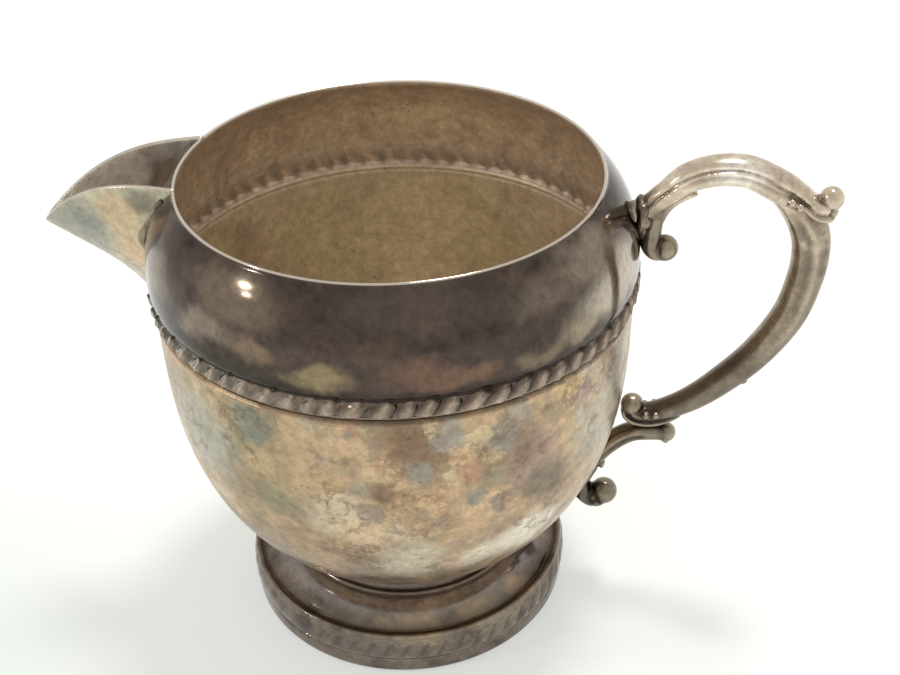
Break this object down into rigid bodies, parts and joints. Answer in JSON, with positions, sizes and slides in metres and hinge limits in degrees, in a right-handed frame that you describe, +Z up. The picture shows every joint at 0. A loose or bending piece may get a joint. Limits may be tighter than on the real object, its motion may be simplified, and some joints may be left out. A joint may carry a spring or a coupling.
{
  "type": "cream jug",
  "caption": "Small tarnished silver-plated cream jug: round bowl with a rope band, beak spout, scroll handle and a domed foot with a gadrooned border.",
  "frame": {"origin": "on the surface that the jug stands on, under the middle of its length", "axes": "+Z up; +X along the jug's length towards the handle, the spout towards -X; +Y across it"},
  "size_m": [0.1375, 0.0862, 0.0939],
  "materials": {
    "bowl_silver": "silver plate, spun and polished, with brown and gold tarnish",
    "spout_silver": "silver plate, polished, with pale gold tarnish",
    "foot_silver": "silver plate, polished, dark brown tarnish",
    "handle_silver": "cast silver plate, softly polished, tarnished in the hollows",
    "solder": "dull brassy solder"
  },
  "bodies": {
    "root": {"body_bowl": "bowl_silver", "spout": "spout_silver", "spout_solder_seam": "solder", "foot_pedestal": "foot_silver", "foot_border": "foot_silver", "foot_base_ring": "foot_silver", "foot_solder_ring": "solder", "handle_upper_scroll": "handle_silver", "handle_grip_scroll": "handle_silver", "handle_lower_bracket": "handle_silver", "handle_upper_solder": "solder", "handle_lower_solder": "solder"}
  },
  "joints": []
}
